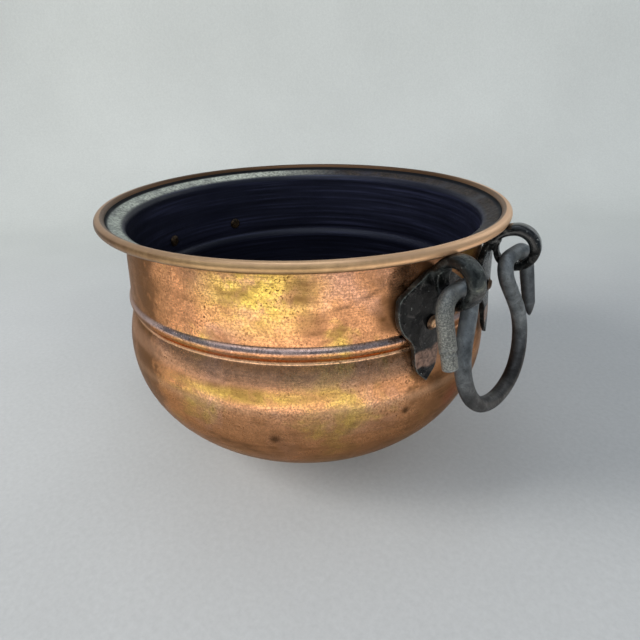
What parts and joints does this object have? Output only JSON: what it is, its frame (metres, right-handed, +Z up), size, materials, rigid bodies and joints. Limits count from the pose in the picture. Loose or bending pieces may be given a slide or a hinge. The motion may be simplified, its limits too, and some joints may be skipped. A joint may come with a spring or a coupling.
{
  "type": "copper cauldron",
  "caption": "Round-bellied copper cauldron with a rolled rim, a pressed bead, riveted iron lugs and hanging iron drop handles.",
  "frame": {"origin": "middle of the flat base, on the surface that the cauldron stands on", "axes": "+Z up through the mouth, +X through the middle of one drop handle and -X through the other"},
  "size_m": [0.3444, 0.3, 0.19],
  "materials": {
    "copper": "aged satin copper, spun and worn, near-black inside",
    "lug_iron": "glossy black over forged iron, chipped at the edges",
    "rivet_copper": "hammered copper, tarnished",
    "rod_iron": "dark grey forged iron, rough and pitted at one tail"
  },
  "bodies": {
    "pot": {"bowl": "copper", "lug_right_front": "lug_iron", "lug_right_back": "lug_iron", "lug_left_front": "lug_iron", "lug_left_back": "lug_iron", "rivet_right_front": "rivet_copper", "rivet_right_back": "rivet_copper", "rivet_left_front": "rivet_copper", "rivet_left_back": "rivet_copper"},
    "right_handle": {"handle_right": "rod_iron"},
    "left_handle": {"handle_left": "rod_iron"}
  },
  "joints": [
    {"name": "right_handle_swing", "type": "hinge", "parent": "pot", "child": "right_handle", "pos_m": [0.14951, 0, 0.16405], "axis": [0, -1, 0], "range_deg": [-15, 128]},
    {"name": "left_handle_swing", "type": "hinge", "parent": "pot", "child": "left_handle", "pos_m": [-0.14951, 0, 0.16405], "axis": [0, 1, 0], "range_deg": [-15, 128]}
  ]
}
